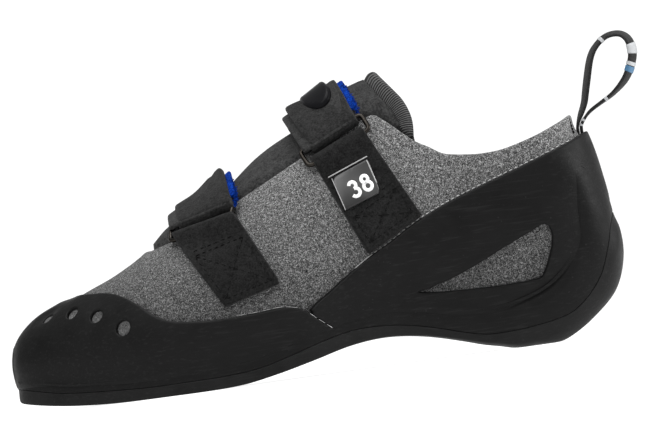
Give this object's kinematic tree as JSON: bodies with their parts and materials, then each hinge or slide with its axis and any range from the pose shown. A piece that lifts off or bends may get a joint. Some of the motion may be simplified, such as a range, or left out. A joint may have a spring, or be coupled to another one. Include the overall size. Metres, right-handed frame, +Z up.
{
  "type": "climbing shoe",
  "caption": "Left climbing shoe with a grey upper, black rubber toe cap and heel sling, hook-and-loop straps over a tongue and a pull loop at the heel.",
  "frame": {"origin": "middle of the heel's flat resting spot, on the floor", "axes": "+X from the toe to the heel, -Y to the foot's outer side, +Z up; the shoe stands on its sole"},
  "size_m": [0.265, 0.0853, 0.1206],
  "materials": {
    "rubber": "black climbing rubber, satin",
    "microfibre": "heathered grey brushed microfibre",
    "lining": "dark textile lining and footbed",
    "tongue_cloth": "charcoal brushed cloth",
    "rib": "charcoal ribbed knit",
    "webbing": "charcoal brushed webbing",
    "pile": "blue loop pile",
    "steel": "drawn wire",
    "label": "glossy black",
    "tape": "black woven tape with pale marks"
  },
  "bodies": {
    "root": {"outsole": "rubber", "insole": "lining", "upper": "microfibre", "toe_rand": "rubber", "heel_rand": "rubber", "tongue": "tongue_cloth", "tongue_binding": "rib", "front_strap_base": "webbing", "front_ring": "steel", "front_strap": "webbing", "front_pile": "pile", "rear_strap_base": "webbing", "rear_ring": "steel", "rear_strap": "webbing", "rear_pile": "pile", "size_label": "label", "strap_badge": "label", "pull_loop": "tape"}
  },
  "joints": []
}
